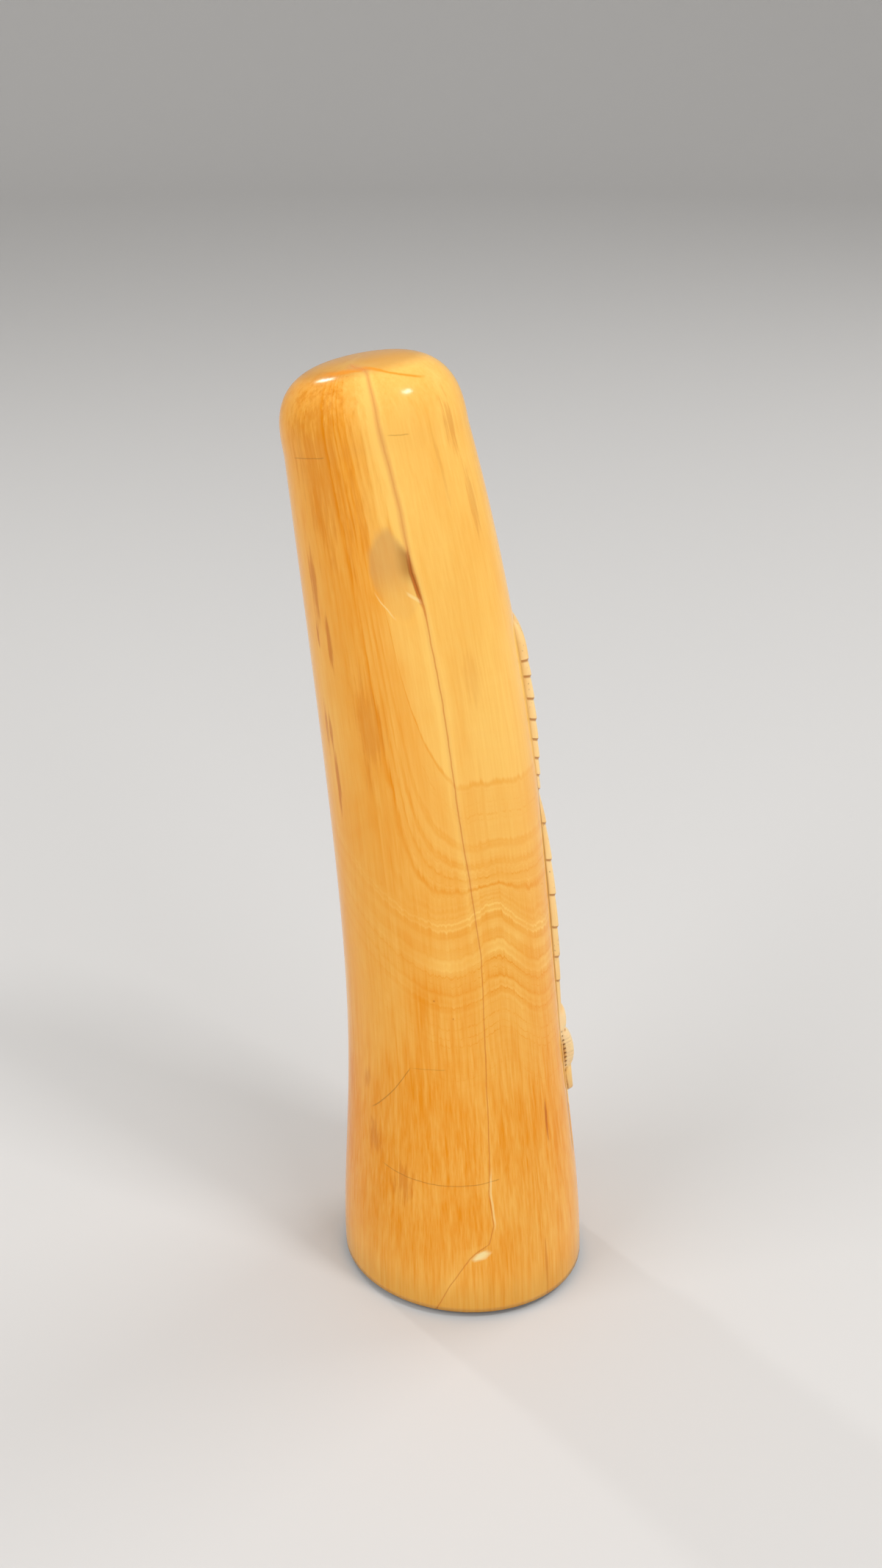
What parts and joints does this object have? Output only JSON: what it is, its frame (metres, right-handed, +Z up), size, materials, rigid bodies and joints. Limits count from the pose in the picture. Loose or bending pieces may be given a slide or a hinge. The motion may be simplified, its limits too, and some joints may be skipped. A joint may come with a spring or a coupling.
{
  "type": "carved ivory tusk",
  "caption": "Standing section of ivory tusk with a polished back and a perched owl carved in low relief on its front.",
  "frame": {"origin": "middle of the flat underside", "axes": "+Z up along the tusk, the carved front faces -Y, and the tip leans to +X"},
  "size_m": [0.1182, 0.092, 0.374],
  "materials": {
    "ivory": "aged ivory, polished to a soft gloss, with fine grain, a crack and brown wear in the carving"
  },
  "bodies": {
    "root": {"carved_tusk": "ivory"}
  },
  "joints": []
}
